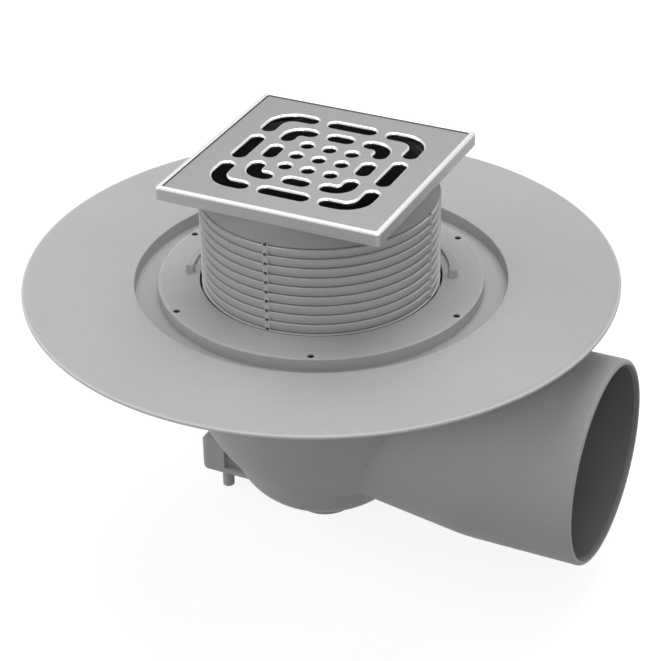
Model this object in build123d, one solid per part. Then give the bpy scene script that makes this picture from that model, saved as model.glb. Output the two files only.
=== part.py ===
from build123d import *
import os
from math import asin, degrees, sqrt

# Floor drain with a side outlet and a height-adjustable top.
# Millimetres. +Z up, +X along the outlet. The origin is on the vertical axis of the drain,
# level with the top of the raised ring and with the rim of the well around it.

# Plastic walls
WALL = 3.5              # flange, well, bowl and riser
CLEAR = 0.3             # between pieces that turn or slide past each other
FIT = 0.2               # between pieces that are dropped into one another

# Wide flange, which rises gently from the well to its outer edge
FLANGE_R = 179.0
FLANGE_RISE = 2.7
FLANGE_EDGE = 1.8       # thickness at the rim
EDGE_BEVEL = 4.0        # width of the shallow bevel at the rim
EDGE_DROP = 0.8
EDGE_ROUND = 0.8
WELL_R = 112.0          # rim of the well
WELL_DEPTH = 8.2
RING_R = 98.0           # outer edge of the raised ring
RING_BEVEL = 1.7        # width of the shallow bevel at the ring's edge
RING_BEVEL_DROP = 0.5
WELL_ROUND = 0.6        # rim of the well

# Six pilot holes in the raised ring
SCREW_COUNT = 6
SCREW_CIRCLE_R = 94.3
SCREW_HOLE_R = 2.1
SCREW_HOLE_DEPTH = 8.5
SCREW_PHASE = 52.2      # degrees from the outlet

# Bowl, half an ellipse turned about the axis, with a round-cornered base and a foot
BOWL_R = 96.5           # ellipse half width
BOWL_HALF_HEIGHT = 159.7
BOWL_CENTRE_Z = 4.8
BASE_R = 57.9
BASE_Z = -154.1
BASE_ROUND = 39.6
FOOT_R = 19.1           # flat round foot under the base
FOOT_HEIGHT = 11.3
FOOT_ROUND = 1.5

# Outlet spigot
OUTLET_R = 62.5
OUTLET_WALL = 4.0
OUTLET_Z = -85.8
OUTLET_END_X = 185.0
OUTLET_ROUND = 2.4
LEAD_LENGTH = 3.0       # bevel inside the mouth
LEAD_DEPTH = 1.2
ROOT_R = 54.5           # narrower root at the bowl
ROOT_X = 45.0           # the root widens from here
ROOT_END_X = 112.0      # to here
ROOT_BLEND = 110.0      # rounding where it meets the plain end

# Support lug opposite the outlet, with a locating peg under it
LUG_END_X = -82.0
LUG_WIDTH = 30.0
LUG_TOP_Z = -131.0
LUG_HEIGHT = 24.0
LUG_ROUND = 5.0
LUG_POCKET = 15.0       # length of the pocket in each side of the lug
PEG_R = 3.8
PEG_X = -70.5
PEG_LENGTH = 19.7

# Riser, a tube with saw-tooth rings, four seams and a plain band at the top
RISER_R = 71.6          # over the rings
RISER_STEP = 1.3        # how much each ring narrows towards its foot
RISER_ROOT = 1.9        # depth of the groove above each ring
RISER_BORE_R = 66.5
RISER_BOTTOM_Z = -20.0
RING_TOP_Z = 54.6       # top of the highest ring
RING_PITCH = 6.11
RING_COUNT = 12
GROOVE = 1.0
BAND_R = 70.2
SEAM_COUNT = 4
SEAM_WIDTH = 3.2
SEAM_DEPTH = 0.35
SEAM_DOT_R = 1.25
SEAM_DOT_DEPTH = 3.0
COLLAR_BORE_R = 63.6    # ring at the top of the riser that carries the frame
COLLAR_HEIGHT = 4.0
NECK_R = 66.2           # short neck that centres the frame
NECK_HEIGHT = 2.0

# Throat in the body, in which the riser slides, and the shelf at its foot
HOLE_GAP = 1.4          # open gap round the riser at the top
THROAT_GAP = 2.9
SHELF_Z = -60.0
SHELF_BORE_R = 58.0

# Lip seal in its groove, and the half ring that lies on the raised ring at the back
SEAL_ROOF = 3.0         # thickness of the raised ring over the groove
SEAL_OUT_R = 80.0
SEAL_HEIGHT = 5.4
SEAL_LIP = 1.2          # thickness of the lip's edge
SEAL_BAND = 4.0         # width of the seal's outer band
SEAL_LIP_GAP = 0.4
CLIP_OUT_R = 82.7
CLIP_IN_R = 77.5
CLIP_RISE = 2.0
CLIP_BEVEL = 1.7
CLIP_PHASE = 22.0       # where the half ring starts, in degrees from the outlet
TAB_OUT_R = 81.8
TAB_LENGTH = 5.4
TAB_WIDTH = 4.0
TAB_HEIGHT = 5.2
TAB_ROUND = 0.8

# Square metal frame
FRAME_SIDE = 140.7
FRAME_HEIGHT = 8.2
FRAME_Z = 68.9          # underside
FRAME_LIP = 3.1
FRAME_FLOOR = 2.5
FRAME_CORNER_R = 2.6
FRAME_OUT_ROUND = 1.6
FRAME_IN_ROUND = 0.6

# Slotted grate, a pressed plate with a turned-down rim
GRATE_DROP = 1.0        # below the frame's lip
GRATE_THICK = 2.2
GRATE_RIM = 2.0
GRATE_GAP = 0.45
SLOT_WIDTH = 8.4
SLOT_ROUND = 1.5
OUTER_RING = 46.3       # centre lines of the two square rings of slots
OUTER_SLOT = 31.0       # overall lengths
OUTER_CORNER_R = 12.5
OUTER_LEG_END = 22.8    # where a corner slot stops, from the grate's middle
INNER_RING = 30.0
INNER_SLOT = 16.3
INNER_CORNER_R = 7.5
INNER_LEG_END = 15.5
HOLE_PITCH = 14.6
HOLE_COUNT = 3
HOLE_R = 3.8

# Removable odour trap
TRAP_R = 65.5
TRAP_PLATE = 3.0
TRAP_FALL = 6.0         # how far the funnel falls from the collar to the tube
TRAP_COLLAR = 8.0       # width of the flat collar
TRAP_TUBE_R = 25.5
TRAP_TUBE_WALL = 2.5
GASKET = 2.0
CUP_R = 40.0
CUP_WALL = 2.5
CUP_BEVEL = 2.0
CUP_GAP = 12.6          # from the cup down to the inside of the base
RIM_DROP = 14.0         # from the funnel's collar down to the cup's rim
WATERWAY = 16.0         # from the cup's floor up to the end of the dip tube
ARM_COUNT = 3
ARM_WIDTH = 9.0
GRIP_LENGTH = 64.0
GRIP_WIDTH = 6.0
GRIP_THICK = 3.0
GRIP_Z = -46.0          # top of the grip

# Derived sizes
FRAME_TOP_Z = FRAME_Z + FRAME_HEIGHT
GRATE_TOP_Z = FRAME_TOP_Z - GRATE_DROP
SEAT_Z = FRAME_Z + FRAME_FLOOR
POCKET_SIDE = FRAME_SIDE - 2 * FRAME_LIP
GRATE_SIDE = POCKET_SIDE - 2 * GRATE_GAP
THROAT_R = RISER_R + THROAT_GAP
HOLE_EDGE_R = RISER_R + HOLE_GAP
SEAL_TOP_Z = -SEAL_ROOF - CLEAR
SEAL_SEAT_Z = SEAL_TOP_Z - SEAL_HEIGHT - CLEAR
WELL_UNDER_Z = -WELL_DEPTH - WALL
LUG_BOTTOM_Z = LUG_TOP_Z - LUG_HEIGHT
TRAP_UNDER_Z = SHELF_Z + GASKET
TRAP_TOP_Z = TRAP_UNDER_Z + TRAP_PLATE
CUP_BOTTOM_Z = BASE_Z + WALL + CUP_GAP
CUP_RIM_Z = TRAP_UNDER_Z - RIM_DROP
TRAP_TUBE_END_Z = CUP_BOTTOM_Z + WATERWAY
FOOT_Z = BASE_Z - FOOT_HEIGHT


def turned(points, arc=360):
    """A solid turned about the Z axis from an outline of (radius, height) points."""
    return revolve(Plane.XZ * make_face(Polyline(*points, close=True)), Axis.Z, arc)


def tube(outer_r, inner_r, low_z, high_z):
    """A straight ring or pipe about the Z axis."""
    return turned([(inner_r, low_z), (outer_r, low_z), (outer_r, high_z), (inner_r, high_z)])


def around(piece, count, start=0.0):
    """Copies of a piece, evenly spaced about the Z axis."""
    return [Rot(0, 0, start + 360 * i / count) * piece for i in range(count)]


def bowl_radius(z, inset=0.0):
    """Radius of the bowl's ellipse at a height."""
    share = (z - BOWL_CENTRE_Z) / (BOWL_HALF_HEIGHT - inset)
    return (BOWL_R - inset) * sqrt(1 - share**2)


def bowl_solid(top_z, inset=0.0):
    """The bowl with its base as a solid, from its lowest point up to a height."""
    half_height = BOWL_HALF_HEIGHT - inset
    top_angle = degrees(asin((top_z - BOWL_CENTRE_Z) / half_height))
    arc = EllipticalCenterArc(
        (0, BOWL_CENTRE_Z), BOWL_R - inset, half_height, start_angle=-90, arc_size=90 + top_angle
    )
    lid = Polyline(arc @ 1, (0, top_z), arc @ 0)
    bowl = revolve(Plane.XZ * make_face([arc, lid]), Axis.Z)
    base = Cylinder(BASE_R - inset, BASE_R, align=(Align.CENTER, Align.CENTER, Align.MIN))
    base = fillet(base.edges().group_by(Axis.Z)[0], BASE_ROUND - inset)
    return bowl + Pos(0, 0, BASE_Z + inset) * base


def outlet_rod(inset, end_x):
    """The outlet as a round bar that widens from its root, drawn along Z."""
    root_r = ROOT_R - inset
    end_r = OUTLET_R - inset
    return turned([
        (0, 0), (root_r, 0), (root_r, ROOT_X), (end_r, ROOT_END_X), (end_r, end_x), (0, end_x),
    ])


def along_outlet(rod):
    """Lays a bar that was drawn along Z on the outlet's axis."""
    return Pos(0, 0, OUTLET_Z) * Rot(0, 90, 0) * rod


def spigot():
    """The outlet's outside, with a rounded end and a soft change from the root."""
    rod = outlet_rod(0, OUTLET_END_X)
    rod = fillet(rod.edges().filter_by(GeomType.CIRCLE).sort_by(Axis.Z)[-1], OUTLET_ROUND)
    rings = rod.edges().filter_by(GeomType.CIRCLE)
    bend = [ring for ring in rings if abs(ring.arc_center.Z - ROOT_END_X) < 0.01]
    return along_outlet(fillet(bend, ROOT_BLEND))


def block(size_x, size_y, low_z, high_z):
    """An upright box centred on the axis."""
    box = Box(size_x, size_y, high_z - low_z, align=(Align.CENTER, Align.CENTER, Align.MIN))
    return Pos(0, 0, low_z) * box


def square_block(side, low_z, high_z, corner_r):
    """A square plate with rounded corners."""
    sketch = RectangleRounded(side, side, corner_r)
    return extrude(Pos(0, 0, low_z) * sketch, high_z - low_z)


def drain_upper():
    """Flange, well, raised ring, seal seat, throat and shelf, turned as one outline."""
    bowl_in_r = bowl_radius(WELL_UNDER_Z, WALL)
    groove_r = SEAL_OUT_R + CLEAR
    under_seat_z = SEAL_SEAT_Z - WALL
    outline = [
        (WELL_R, 0), (FLANGE_R - EDGE_BEVEL, FLANGE_RISE), (FLANGE_R, FLANGE_RISE - EDGE_DROP),
        (FLANGE_R, FLANGE_RISE - EDGE_DROP - FLANGE_EDGE),
        (WELL_R + WALL, -WALL), (WELL_R + WALL, WELL_UNDER_Z), (bowl_in_r, WELL_UNDER_Z),
        (bowl_in_r, under_seat_z), (THROAT_R + WALL, under_seat_z),
        (THROAT_R + WALL, SHELF_Z - WALL),
        (SHELF_BORE_R, SHELF_Z - WALL), (SHELF_BORE_R, SHELF_Z), (THROAT_R, SHELF_Z),
        (THROAT_R, SEAL_SEAT_Z), (groove_r, SEAL_SEAT_Z), (groove_r, -SEAL_ROOF),
        (HOLE_EDGE_R, -SEAL_ROOF), (HOLE_EDGE_R, 0), (RING_R - RING_BEVEL, 0),
        (RING_R, -RING_BEVEL_DROP), (RING_R, -WELL_DEPTH), (WELL_R, -WELL_DEPTH),
    ]
    upper = turned(outline)
    upper = fillet(rings_at(upper, FLANGE_R), EDGE_ROUND)
    upper = fillet(rings_at(upper, WELL_R)[-1], WELL_ROUND)
    hole = Pos(SCREW_CIRCLE_R, 0, 0) * Cylinder(SCREW_HOLE_R, 2 * SCREW_HOLE_DEPTH)
    return upper - around(hole, SCREW_COUNT, SCREW_PHASE)


def rings_at(solid, radius):
    """The round edges of a turned solid that have a radius, lowest first."""
    circles = solid.edges().filter_by(GeomType.CIRCLE).sort_by(Axis.Z)
    return [circle for circle in circles if abs(circle.radius - radius) < 0.01]


def lug():
    """Rounded support lug with a pocket in each side and a peg under it."""
    length = -LUG_END_X
    body = Pos(LUG_END_X, 0, LUG_BOTTOM_Z) * Box(
        length, LUG_WIDTH, LUG_HEIGHT, align=(Align.MIN, Align.CENTER, Align.MIN)
    )
    end_edges = body.faces().sort_by(Axis.X)[0].edges()
    body = fillet(end_edges, LUG_ROUND)
    pocket = Box(LUG_POCKET, LUG_WIDTH / 3, LUG_HEIGHT - 2 * WALL)
    pocket_x = PEG_X + PEG_R + (WALL + LUG_POCKET) / 2
    for side in (-1, 1):
        body -= Pos(pocket_x, side * LUG_WIDTH / 2, LUG_BOTTOM_Z + LUG_HEIGHT / 2) * pocket
    peg = Cylinder(PEG_R, PEG_LENGTH + WALL, align=(Align.CENTER, Align.CENTER, Align.MIN))
    peg = chamfer(peg.edges().group_by(Axis.Z)[0], PEG_R / 5)
    return body + Pos(PEG_X, 0, LUG_BOTTOM_Z - PEG_LENGTH) * peg


def drain_body():
    """The moulded body: bowl, outlet, foot and lug under the flange and its throat."""
    top_z = WELL_UNDER_Z + WALL / 2
    foot = Cylinder(FOOT_R, BOWL_R / 2, align=(Align.CENTER, Align.CENTER, Align.MIN))
    foot = Pos(0, 0, FOOT_Z) * fillet(foot.edges().group_by(Axis.Z)[0], FOOT_ROUND)
    outside = bowl_solid(top_z) + foot + spigot() + lug()
    bore_r = OUTLET_R - OUTLET_WALL
    lead_in = turned([
        (0, OUTLET_END_X - LEAD_LENGTH), (bore_r, OUTLET_END_X - LEAD_LENGTH),
        (bore_r + LEAD_DEPTH, OUTLET_END_X), (0, OUTLET_END_X),
    ])
    bore = along_outlet(outlet_rod(OUTLET_WALL, OUTLET_END_X + WALL) + lead_in)
    shell = outside - (bowl_solid(top_z, WALL) + bore)
    return shell + drain_upper()


def riser_clip():
    """Half ring with a bevelled edge and a grip tab at each end."""
    half = turned([
        (CLIP_IN_R, 0), (CLIP_OUT_R, 0), (CLIP_OUT_R, CLIP_RISE - CLIP_BEVEL),
        (CLIP_OUT_R - CLIP_BEVEL, CLIP_RISE), (CLIP_IN_R, CLIP_RISE),
    ], 180)
    tab = Box(TAB_LENGTH, TAB_WIDTH, TAB_HEIGHT, align=(Align.MAX, Align.CENTER, Align.MIN))
    tab = fillet(tab.edges().filter_by(Axis.Z) + tab.edges().group_by(Axis.Z)[-1], TAB_ROUND)
    return Rot(0, 0, CLIP_PHASE) * half + around(Pos(TAB_OUT_R, 0, 0) * tab, 2, CLIP_PHASE)


def riser_seal():
    """Rubber ring whose lip bears on the riser."""
    lip_r = RISER_R + SEAL_LIP_GAP
    band_r = SEAL_OUT_R - SEAL_BAND
    bottom_z = SEAL_TOP_Z - SEAL_HEIGHT
    lip_z = (SEAL_TOP_Z + bottom_z) / 2
    return turned([
        (SEAL_OUT_R, bottom_z), (SEAL_OUT_R, SEAL_TOP_Z), (band_r, SEAL_TOP_Z),
        (lip_r, lip_z + SEAL_LIP / 2), (lip_r, lip_z - SEAL_LIP / 2),
        (band_r, lip_z - SEAL_LIP), (band_r, bottom_z),
    ])


def riser():
    """Tube with saw-tooth rings, four seams with a dot in each groove, and a collar."""
    root_r = RISER_R - RISER_ROOT
    foot_r = RISER_R - RISER_STEP
    collar_z = FRAME_Z - COLLAR_HEIGHT
    outline = [
        (RISER_BORE_R, RISER_BOTTOM_Z), (RISER_BORE_R, collar_z), (COLLAR_BORE_R, collar_z),
        (COLLAR_BORE_R, FRAME_Z + NECK_HEIGHT), (NECK_R, FRAME_Z + NECK_HEIGHT),
        (NECK_R, FRAME_Z), (BAND_R, FRAME_Z), (BAND_R, RING_TOP_Z + GROOVE),
    ]
    for i in range(RING_COUNT):
        top_z = RING_TOP_Z - i * RING_PITCH
        foot_z = top_z - RING_PITCH + GROOVE
        outline += [(root_r, top_z + GROOVE), (root_r, top_z), (RISER_R, top_z), (foot_r, foot_z)]
    outline += [(root_r, foot_z), (root_r, RISER_BOTTOM_Z)]
    body = turned(outline)

    seam_top_z = RING_TOP_Z + GROOVE
    seam = Box(
        RISER_ROOT, SEAM_WIDTH, seam_top_z - RISER_BOTTOM_Z,
        align=(Align.MAX, Align.CENTER, Align.MIN),
    )
    body += around(Pos(RISER_R - SEAM_DEPTH, 0, RISER_BOTTOM_Z) * seam, SEAM_COUNT)
    dot = Rot(0, 90, 0) * Cylinder(SEAM_DOT_R, 2 * SEAM_DOT_DEPTH)
    for i in range(RING_COUNT):
        dot_z = RING_TOP_Z + GROOVE / 2 - i * RING_PITCH
        body -= around(Pos(RISER_R, 0, dot_z) * dot, SEAM_COUNT)
    return body


def top_frame():
    """Square metal frame with a lip and a floor that sits on the riser."""
    frame = square_block(FRAME_SIDE, FRAME_Z, FRAME_TOP_Z, FRAME_CORNER_R)
    frame -= square_block(POCKET_SIDE, SEAT_Z, FRAME_TOP_Z + FRAME_LIP, FRAME_CORNER_R / 2)
    frame = fillet(frame.faces().sort_by(Axis.Z)[-1].outer_wire().edges(), FRAME_OUT_ROUND)
    frame = fillet(frame.faces().sort_by(Axis.Z)[-1].inner_wires()[0].edges(), FRAME_IN_ROUND)
    return frame - tube(NECK_R + FIT, 0, FRAME_Z - FRAME_FLOOR, SEAT_Z + FRAME_FLOOR)


def straight_slot(length):
    """A slot with round ends along X."""
    return SlotOverall(length, SLOT_WIDTH)


def corner_slot(ring, corner_r, leg_end):
    """An L-shaped slot round a corner of one square ring."""
    start = leg_end + SLOT_WIDTH / 2
    path = FilletPolyline((start, ring), (ring, ring), (ring, start), radius=corner_r)
    ends = [Pos(start, ring) * Circle(SLOT_WIDTH / 2), Pos(ring, start) * Circle(SLOT_WIDTH / 2)]
    return trace(path, SLOT_WIDTH) + ends


def grate_openings():
    """All the slots and holes of the grate, as one sketch."""
    openings = []
    for ring, length, corner_r, leg_end in (
        (OUTER_RING, OUTER_SLOT, OUTER_CORNER_R, OUTER_LEG_END),
        (INNER_RING, INNER_SLOT, INNER_CORNER_R, INNER_LEG_END),
    ):
        openings += around(Pos(0, ring) * straight_slot(length), 4)
        openings += around(corner_slot(ring, corner_r, leg_end), 4)
    openings += [spot * Circle(HOLE_R) for spot in GridLocations(
        HOLE_PITCH, HOLE_PITCH, HOLE_COUNT, HOLE_COUNT
    )]
    return openings


def grate():
    """Pressed plate with rounded slot edges and a rim that rests on the frame's floor."""
    under_z = GRATE_TOP_Z - GRATE_THICK
    plate = square_block(GRATE_SIDE, SEAT_Z, GRATE_TOP_Z, FRAME_CORNER_R / 2)
    hollow_side = GRATE_SIDE - 2 * GRATE_RIM
    plate -= block(hollow_side, hollow_side, SEAT_Z - GRATE_RIM, under_z)
    for opening in grate_openings():
        plate -= extrude(Pos(0, 0, under_z - GRATE_RIM) * opening, GRATE_THICK + 2 * GRATE_RIM)
    top = plate.faces().sort_by(Axis.Z)[-1]
    slot_edges = [edge for wire in top.inner_wires() for edge in wire.edges()]
    return fillet(slot_edges, SLOT_ROUND)


def trap_insert():
    """Funnel with a dip tube and a grip, which hangs on the shelf."""
    flat_r = TRAP_R - TRAP_COLLAR
    tube_in_r = TRAP_TUBE_R - TRAP_TUBE_WALL
    insert = turned([
        (TRAP_R, TRAP_UNDER_Z), (TRAP_R, TRAP_TOP_Z), (flat_r, TRAP_TOP_Z),
        (tube_in_r, TRAP_TOP_Z - TRAP_FALL), (tube_in_r, TRAP_TUBE_END_Z),
        (TRAP_TUBE_R, TRAP_TUBE_END_Z), (TRAP_TUBE_R, TRAP_UNDER_Z - TRAP_FALL),
        (flat_r, TRAP_UNDER_Z),
    ])
    grip = block(GRIP_LENGTH, GRIP_WIDTH, TRAP_UNDER_Z - TRAP_FALL / 2, GRIP_Z)
    window = block(GRIP_LENGTH - 2 * GRIP_THICK, 2 * GRIP_WIDTH, TRAP_TUBE_END_Z, GRIP_Z - GRIP_THICK)
    return insert + (grip - window)


def trap_cup(insert):
    """Cup round the dip tube, hung from the funnel by three arms."""
    cup = tube(CUP_R, CUP_R - CUP_WALL, CUP_BOTTOM_Z, CUP_RIM_Z)
    cup += tube(CUP_R, 0, CUP_BOTTOM_Z, CUP_BOTTOM_Z + CUP_WALL)
    cup = chamfer(cup.edges().group_by(Axis.Z)[0], CUP_BEVEL)
    arm = Box(
        CUP_WALL, ARM_WIDTH, TRAP_TOP_Z - CUP_RIM_Z + CUP_WALL,
        align=(Align.MAX, Align.CENTER, Align.MIN),
    )
    arms = around(Pos(CUP_R, 0, CUP_RIM_Z - CUP_WALL) * arm, ARM_COUNT, 180 / ARM_COUNT)
    cup = cup + arms - insert
    return cup.solids().sort_by(SortBy.VOLUME)[-1]


def trap_gasket():
    """Flat ring between the trap's collar and the shelf."""
    return tube(TRAP_R, TRAP_R - TRAP_COLLAR + FIT, SHELF_Z, TRAP_UNDER_Z)


def main():
    os.makedirs("parts", exist_ok=True)
    insert = trap_insert()
    nodes = {
        "drain_body": drain_body(),
        "riser_clip": riser_clip(),
        "riser_seal": riser_seal(),
        "riser": riser(),
        "top_frame": top_frame(),
        "grate": grate(),
        "trap_insert": insert,
        "trap_cup": trap_cup(insert),
        "trap_gasket": trap_gasket(),
    }
    for name, shape in nodes.items():
        export_step(shape, f"parts/{name}.step")


main()
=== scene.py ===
from math import pi, radians

import bmesh
import bpy
from mathutils import Matrix, Vector


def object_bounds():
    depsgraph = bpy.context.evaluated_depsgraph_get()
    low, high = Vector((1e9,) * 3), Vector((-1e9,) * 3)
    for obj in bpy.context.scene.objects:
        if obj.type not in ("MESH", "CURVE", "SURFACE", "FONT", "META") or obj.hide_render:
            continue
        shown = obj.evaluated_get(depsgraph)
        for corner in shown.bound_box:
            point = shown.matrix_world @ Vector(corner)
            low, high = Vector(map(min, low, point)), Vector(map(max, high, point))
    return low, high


# Floor drain on a white studio floor. Metres, in the same frame as the CAD: +Z up, +X along
# the outlet, origin on the drain's axis at the height of the raised ring.

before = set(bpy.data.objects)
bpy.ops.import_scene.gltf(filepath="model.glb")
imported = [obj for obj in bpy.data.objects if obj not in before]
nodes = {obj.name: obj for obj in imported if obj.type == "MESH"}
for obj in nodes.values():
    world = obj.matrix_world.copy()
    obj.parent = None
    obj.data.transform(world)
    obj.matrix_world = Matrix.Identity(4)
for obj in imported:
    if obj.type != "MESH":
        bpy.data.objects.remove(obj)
cad_low, cad_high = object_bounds()

# Camera, fitted to the photo's round edges and frame corners
CAMERA_PLACE = (0.494, -0.997, 0.631)
CAMERA_AZIMUTH = 26.1             # degrees; 0 looks along +Y
CAMERA_DOWN = 31.1
CAMERA_ROLL = -1.03
LENS = 115.84                     # mm
SENSOR = 36.0                     # mm

# Lamps: name, place, target, size and power
LAMPS = (
    ("top_light", (-0.15, 0.5, 1.6), (0, 0, 0), 1.9, 20.5),
    ("left_light", (-1.6, -0.8, 0.6), (0, 0, -0.05), 1.5, 11.5),
    ("right_light", (1.3, -0.2, 1.2), (0, 0, 0.03), 1.1, 2.6),
    ("front_light", (0.8, -1.6, 0.7), (0, 0, -0.05), 1.3, 6.6),
)
WORLD_LIGHT = 0.22

# Floor
FLOOR_SIZE = 14.0
FLOOR_GAP = 0.0002                # below the lowest point of the drain
FLOOR_BOUNCE = 0.24               # its lightness for the light that it throws back
FLOOR_SEEN = 0.3                  # its lightness for the eye, which shows the shadow
FLOOR_GLOW = 0.86                 # and its glow for the eye, which makes it white

# Greys, as linear brightness
BODY_GREY = 0.48
CLIP_GREY = 0.46
TRAP_GREY = 0.03
RISER_GREYS = (0.48, 0.54)
RISER_FOOT_SHADE_GREY = 0.36            # painted shade at the narrow foot of each ring
RISER_LEDGE_HIGHLIGHT_GREY = 0.82           # painted highlight on the narrow ledges that face up
# painted shade in the grooves between the rings
RISER_GROOVE_SHADE_GREY = 0.2
# painted shade in the riser's bore
RISER_BORE_SHADE_GREYS = (0.05, 0.09)
RUBBER_GREYS = (0.012, 0.028)
FRAME_SIDE_GREYS = (0.3, 0.37)
# painted highlight on the frame's lip that faces up
FRAME_LIP_HIGHLIGHT_GREY = 0.78
GRATE_FLAT_GREY = 0.28
# painted highlight on the grate's rounded edges
GRATE_EDGE_HIGHLIGHT_GREY = 0.72

# Where the plastic has another tone, as radii: painted shade in the riser's bore and grooves, at
# each ring's foot, in the pilot holes and in the outlet's bore, and a painted highlight on the
# flange's rim
RISER_BORE = (0.0668, 0.0673)
RISER_GROOVE = (0.06985, 0.07)
RISER_FACE = (0.0702, 0.0712)     # painted shade darkens each ring towards its narrow foot
HOLE_BAND = (0.0916, 0.0971)      # the six pilot holes lie in it; they get painted shade
HOLE_DEPTHS = (-0.009, -0.0012)
OUTLET_WALL = (0.052, 0.0596)     # middle of the wall at the two ends of the root
OUTLET_ROOT_X = (0.045, 0.112)
OUTLET_SHADE_X = (0.0, 0.03)       # painted shade darkens the outlet's bore beyond this
OUTLET_AXIS_Z = -0.0858
FLANGE_RIM = (0.1772, 0.1782)     # painted highlight makes the rim lighter
FLANGE_UNDER_Z = (-0.01, -0.005)
RAISED_RING_EDGE = (0.099, 0.1)   # the turned rings are faint outside these radii

# Relief, as depths and pitches
GRAIN_DEPTH = 0.00003
STROKE_DEPTH = 0.00002
RING_DEPTH = 0.00006              # of the turned rings
BODY_RING_PITCH = 0.00105
CLIP_RING_PITCH = 0.0016

PLASTIC_SHEEN = 0.4
NOISE_RANGE = (0.3, 0.7)          # where most of a noise's values lie
EVEN = (1, 1, 1)                  # a noise that isn't stretched


class Nodes:
    """A node tree under construction."""

    def __init__(self, tree):
        self.tree = tree
        self.tree.nodes.clear()

    def add(self, kind, inputs=None, **settings):
        """Adds a node; an input is a value or another node's socket."""
        node = self.tree.nodes.new(kind)
        for key, value in settings.items():
            setattr(node, key, value)
        for key, value in (inputs or {}).items():
            if isinstance(value, bpy.types.NodeSocket):
                self.tree.links.new(value, node.inputs[key])
            else:
                node.inputs[key].default_value = value
        return node

    def math(self, operation, *values):
        inputs = dict(enumerate(values))
        return self.add("ShaderNodeMath", inputs, operation=operation).outputs[0]

    def white_for_eye(self):
        """1 for rays that see the background, straight or in a mirror, 0 for rays that light."""
        path = self.add("ShaderNodeLightPath").outputs
        seen = self.math("MAXIMUM", path["Is Camera Ray"], path["Is Glossy Ray"])
        return self.math("MAXIMUM", seen, path["Is Transmission Ray"])

    def choose(self, fac, first, second):
        """A mix of two shader nodes."""
        inputs = {0: fac, 1: first.outputs[0], 2: second.outputs[0]}
        return self.add("ShaderNodeMixShader", inputs).outputs[0]


class Shader(Nodes):
    """A material under construction."""

    def __init__(self, name):
        self.material = bpy.data.materials.new(name)
        self.material.use_nodes = True
        super().__init__(self.material.node_tree)
        self.coords = self.add("ShaderNodeTexCoord")

    def ramp(self, value, low, high, to_low=0.0, to_high=1.0):
        """Maps low..high to to_low..to_high, and stops at both ends."""
        inputs = {0: value, 1: low, 2: high, 3: to_low, 4: to_high}
        return self.add("ShaderNodeMapRange", inputs).outputs[0]

    def spread(self, noise, to_low=0.0, to_high=1.0):
        """Maps the usual range of a noise to to_low..to_high."""
        return self.ramp(noise, *NOISE_RANGE, to_low, to_high)

    def between(self, value, low, high, soft):
        """1 from low to high and 0 outside, with soft ends."""
        rise = self.ramp(value, low - soft, low)
        return self.math("MULTIPLY", rise, self.ramp(value, high + soft, high))

    def noise(self, stretch, scale=1.0, detail=3.0, roughness=0.5):
        """Noise in object space, with a scale for each axis."""
        mapped = self.add("ShaderNodeMapping", {0: self.coords.outputs["Object"], 3: stretch})
        inputs = {
            "Vector": mapped.outputs[0], "Scale": scale, "Detail": detail, "Roughness": roughness,
        }
        return self.add("ShaderNodeTexNoise", inputs).outputs["Fac"]

    def axes(self):
        """The x, y and z of the point."""
        return self.add("ShaderNodeSeparateXYZ", {0: self.coords.outputs["Object"]}).outputs

    def vector(self, operation, *values):
        """The outputs of a vector sum, by its operation."""
        inputs = dict(enumerate(values))
        return self.add("ShaderNodeVectorMath", inputs, operation=operation).outputs

    def distance(self, across, centre=(0, 0, 0)):
        """How far the point is from a centre, measured only along the axes given as 1."""
        moved = self.vector("SUBTRACT", self.coords.outputs["Object"], centre)
        flat = self.vector("MULTIPLY", moved["Vector"], across)
        return self.vector("LENGTH", flat["Vector"])["Value"]

    def radius(self):
        """The point's distance from the drain's axis."""
        return self.distance((1, 1, 0))

    def facing_up(self, start=0.9, end=0.98):
        """1 where the surface faces up, 0 where it doesn't."""
        normal = self.add("ShaderNodeSeparateXYZ", {0: self.coords.outputs["Normal"]})
        return self.ramp(normal.outputs[2], start, end)

    def tint(self, fac, first, second):
        """A colour between two, by a factor."""
        node = self.add("ShaderNodeMix", {0: fac, 6: first, 7: second}, data_type="RGBA")
        return node.outputs[2]

    def clouded(self, noise, first, second):
        """A grey that wanders between two with a noise."""
        return self.tint(self.spread(noise), grey(first), grey(second))

    def bump(self, height, distance, strength=1.0, under=None):
        inputs = {"Height": height, "Distance": distance, "Strength": strength}
        if under is not None:
            inputs["Normal"] = under
        return self.add("ShaderNodeBump", inputs).outputs[0]

    def finish(self, colour, roughness, normal, **values):
        inputs = {"Base Color": colour, "Roughness": roughness, "Normal": normal}
        inputs.update({key.replace("_", " "): value for key, value in values.items()})
        surface = self.add("ShaderNodeBsdfPrincipled", inputs)
        self.add("ShaderNodeOutputMaterial", {"Surface": surface.outputs[0]})
        return self.material


def grey(value):
    """A neutral grey of that linear brightness."""
    return (value, value, value, 1.0)


def pilot_hole_shade(s):
    """Where the six pilot holes get painted shade: 1 inside them and 0 elsewhere."""
    wide = s.between(s.radius(), *HOLE_BAND, 0.0001)
    deep = s.between(s.axes()[2], *HOLE_DEPTHS, 0.0006)
    return s.math("MULTIPLY", wide, deep)


def outlet_bore_shade(s):
    """Where the outlet's bore gets painted shade: 1 in the bore and 0 elsewhere."""
    x = s.axes()[0]
    wall = s.ramp(x, *OUTLET_ROOT_X, *OUTLET_WALL)
    depth = s.math("SUBTRACT", wall, s.distance((0, 1, 1), (0, 0, OUTLET_AXIS_Z)))
    return s.math("MULTIPLY", s.ramp(depth, -0.0005, 0.0005), s.ramp(x, *OUTLET_SHADE_X))


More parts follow.
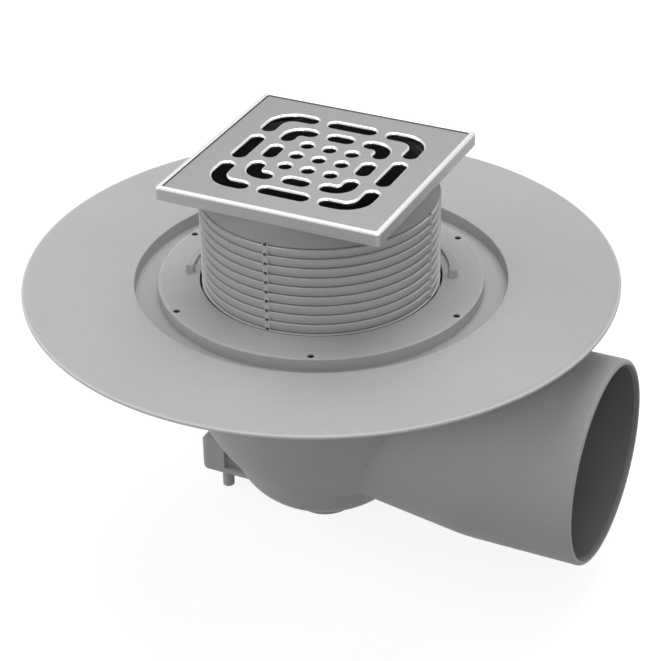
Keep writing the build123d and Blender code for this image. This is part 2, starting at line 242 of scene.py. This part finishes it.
def flange_rim_highlight(s):
    """Where the flange's rim gets a painted highlight: 1 at the rim and 0 elsewhere."""
    rim = s.ramp(s.radius(), *FLANGE_RIM)
    return s.math("MULTIPLY", rim, s.ramp(s.axes()[2], *FLANGE_UNDER_Z))


def moulded_plastic(name, level, ring_pitch=None, painted_light_tones=()):
    """Matt moulded plastic: faint flow clouds, a fine grain, and turned rings on flat tops."""
    s = Shader(name)
    clouds = s.noise(EVEN, 14.0, 2.0)
    grain = s.noise(EVEN, 1500.0, 2.0, 0.6)
    scuffs = s.noise(EVEN, 90.0, 4.0, 0.7)
    flow = s.math("ADD", s.math("MULTIPLY", clouds, 0.6), s.math("MULTIPLY", scuffs, 0.4))
    colour = s.clouded(flow, level * 0.955, level * 1.045)
    # painted shade or painted highlight at the places given, by their shares
    for place, share in painted_light_tones:
        colour = s.tint(place(s), colour, grey(level * share))
    normal = s.bump(grain, GRAIN_DEPTH, 0.5)
    if ring_pitch:
        radius = s.radius()
        wave = s.math("SINE", s.math("MULTIPLY", radius, 2 * pi / ring_pitch))
        wave = s.math("MULTIPLY", wave, s.ramp(radius, *RAISED_RING_EDGE, 1.0, 0.4))
        height = s.math("MULTIPLY", wave, s.facing_up())
        normal = s.bump(height, RING_DEPTH, 1.0, normal)
    return s.finish(colour, s.spread(scuffs, 0.5, 0.62), normal, Specular_IOR_Level=PLASTIC_SHEEN)


def riser_plastic():
    """Plastic of the ringed tube: fine lines round it from its tool, painted shade in its bore,
    in its grooves and at each ring's foot, and a painted highlight on its up-facing ledges.
    """
    s = Shader("riser_plastic_fine")
    lines = s.noise((6, 6, 2600), 1.0, 3.0, 0.6)
    clouds = s.noise(EVEN, 22.0, 3.0)
    radius = s.radius()
    outside = s.clouded(clouds, *RISER_GREYS)
    # painted shade towards the narrow foot of each ring
    outside = s.tint(s.ramp(radius, *RISER_FACE), grey(RISER_FOOT_SHADE_GREY), outside)
    # painted highlight on the surfaces that face up
    outside = s.tint(s.facing_up(0.6, 0.9), outside, grey(RISER_LEDGE_HIGHLIGHT_GREY))
    # painted shade in the grooves
    outside = s.tint(s.ramp(radius, *RISER_GROOVE), grey(RISER_GROOVE_SHADE_GREY), outside)
    # painted shade inside the bore
    inside = s.clouded(clouds, *RISER_BORE_SHADE_GREYS)
    colour = s.tint(s.ramp(radius, *RISER_BORE), inside, outside)
    normal = s.bump(lines, GRAIN_DEPTH, 0.6)
    return s.finish(colour, s.spread(lines, 0.48, 0.6), normal, Specular_IOR_Level=PLASTIC_SHEEN)


def brushed_steel(name, flat_level, edge_highlight_level, stretch, roughness):
    """Brushed metal whose flat faces are dull and whose rounded edges carry a painted highlight.
    """
    s = Shader(name)
    strokes = s.noise(stretch, 1.0, 4.0, 0.65)
    wide = s.noise(EVEN, 30.0, 2.0)
    flat = s.facing_up(0.93, 0.995)
    dull = s.clouded(strokes, flat_level * 0.93, flat_level * 1.07)
    # painted highlight on the rounded edges
    bright = s.clouded(wide, edge_highlight_level * 0.97, edge_highlight_level)
    colour = s.tint(flat, bright, dull)
    worn = s.spread(strokes, -0.03, 0.03)
    rough = s.math("ADD", s.ramp(flat, 0, 1, roughness * 0.6, roughness), worn)
    return s.finish(colour, rough, s.bump(strokes, STROKE_DEPTH, 0.5), Metallic=1.0)


def frame_steel():
    """The frame: a painted highlight on the rounded lip that faces up, and darker sides brushed
    along their length.
    """
    s = Shader("frame_steel_fine")
    strokes = s.noise((25, 25, 2200), 1.0, 4.0, 0.65)
    lip = s.facing_up(0.02, 0.5)
    # painted highlight on the faces that point up
    colour = s.tint(lip, s.clouded(strokes, *FRAME_SIDE_GREYS), grey(FRAME_LIP_HIGHLIGHT_GREY))
    worn = s.spread(strokes, -0.04, 0.04)
    rough = s.math("ADD", s.ramp(lip, 0, 1, 0.42, 0.22), worn)
    return s.finish(colour, rough, s.bump(strokes, STROKE_DEPTH, 0.5), Metallic=1.0)


def seal_rubber():
    """Black rubber with a dull bloom."""
    s = Shader("seal_rubber_fine")
    bloom = s.noise(EVEN, 60.0, 3.0)
    grain = s.noise(EVEN, 2200.0, 2.0)
    dark, light = RUBBER_GREYS
    colour = s.tint(s.ramp(bloom, 0.35, 0.7), grey(dark), grey(light))
    return s.finish(colour, s.spread(bloom, 0.55, 0.75), s.bump(grain, GRAIN_DEPTH, 0.5))


def dress():
    """Gives each CAD node its own procedural finish."""
    # painted shade in the pilot holes and the outlet's bore, and a painted highlight on the
    # flange's rim
    painted_light_tones = ((pilot_hole_shade, 0.08), (flange_rim_highlight, 1.3), (outlet_bore_shade, 0.36))
    trap = moulded_plastic("trap_plastic_fine", TRAP_GREY)
    rubber = seal_rubber()
    strokes = (40, 1600, 40)
    finishes = {
        "drain_body": moulded_plastic("body_plastic_fine", BODY_GREY, BODY_RING_PITCH, painted_light_tones),
        "riser_clip": moulded_plastic("clip_plastic_fine", CLIP_GREY, CLIP_RING_PITCH),
        "riser": riser_plastic(),
        "riser_seal": rubber,
        "trap_gasket": rubber,
        "trap_insert": trap,
        "trap_cup": trap,
        "top_frame": frame_steel(),
        "grate": brushed_steel(
            "grate_steel_fine", GRATE_FLAT_GREY, GRATE_EDGE_HIGHLIGHT_GREY, strokes, 0.4
        ),
    }
    for name, material in finishes.items():
        for place in nodes[name].material_slots:
            place.material = material


def make_floor():
    """A wide white floor that keeps the object's shadow."""
    mesh = bpy.data.meshes.new("studio_floor")
    work = bmesh.new()
    bmesh.ops.create_grid(work, x_segments=4, y_segments=4, size=FLOOR_SIZE / 2)
    work.to_mesh(mesh)
    work.free()
    floor = bpy.data.objects.new("studio_floor", mesh)
    floor.location = (0, 0, cad_low[2] - FLOOR_GAP)
    bpy.context.scene.collection.objects.link(floor)
    s = Shader("studio_floor")
    lit = s.add("ShaderNodeBsdfDiffuse", {"Color": grey(FLOOR_BOUNCE)})
    seen = s.add("ShaderNodeBsdfDiffuse", {"Color": grey(FLOOR_SEEN)})
    glow = s.add("ShaderNodeEmission", {"Color": grey(1.0), "Strength": FLOOR_GLOW})
    white = s.add("ShaderNodeAddShader", {0: seen.outputs[0], 1: glow.outputs[0]})
    s.add("ShaderNodeOutputMaterial", {"Surface": s.choose(s.white_for_eye(), lit, white)})
    mesh.materials.append(s.material)


def make_world():
    """Even soft light, and plain white wherever the world itself is seen."""
    world = bpy.data.worlds.new("studio")
    world.use_nodes = True
    w = Nodes(world.node_tree)
    light = w.add("ShaderNodeBackground", {"Color": grey(1.0), "Strength": WORLD_LIGHT})
    white = w.add("ShaderNodeBackground", {"Color": grey(1.0), "Strength": 1.0})
    w.add("ShaderNodeOutputWorld", {"Surface": w.choose(w.white_for_eye(), light, white)})
    bpy.context.scene.world = world


def soft_lamp(name, place, target, size, power):
    """A round lamp at a place, shining at a target."""
    lamp = bpy.data.lights.new(name, "AREA")
    lamp.shape = "DISK"
    lamp.size = size
    lamp.energy = power
    obj = bpy.data.objects.new(name, lamp)
    bpy.context.scene.collection.objects.link(obj)
    turn = (Vector(target) - Vector(place)).to_track_quat("-Z", "Y").to_matrix().to_4x4()
    obj.matrix_world = Matrix.Translation(place) @ turn


def make_camera():
    """The photo's view."""
    lens = bpy.data.cameras.new("photo_camera")
    lens.sensor_fit = "HORIZONTAL"
    lens.sensor_width = SENSOR
    lens.lens = LENS
    camera = bpy.data.objects.new("photo_camera", lens)
    bpy.context.scene.collection.objects.link(camera)
    tilt = Matrix.Rotation(radians(90 - CAMERA_DOWN), 4, "X")
    heading = Matrix.Rotation(radians(CAMERA_AZIMUTH), 4, "Z")
    roll = Matrix.Rotation(radians(CAMERA_ROLL), 4, "Z")
    camera.matrix_world = Matrix.Translation(CAMERA_PLACE) @ heading @ tilt @ roll
    bpy.context.scene.camera = camera


dress()
make_floor()
make_world()
for lamp_row in LAMPS:
    soft_lamp(*lamp_row)
make_camera()
bpy.context.scene.view_settings.view_transform = "Standard"
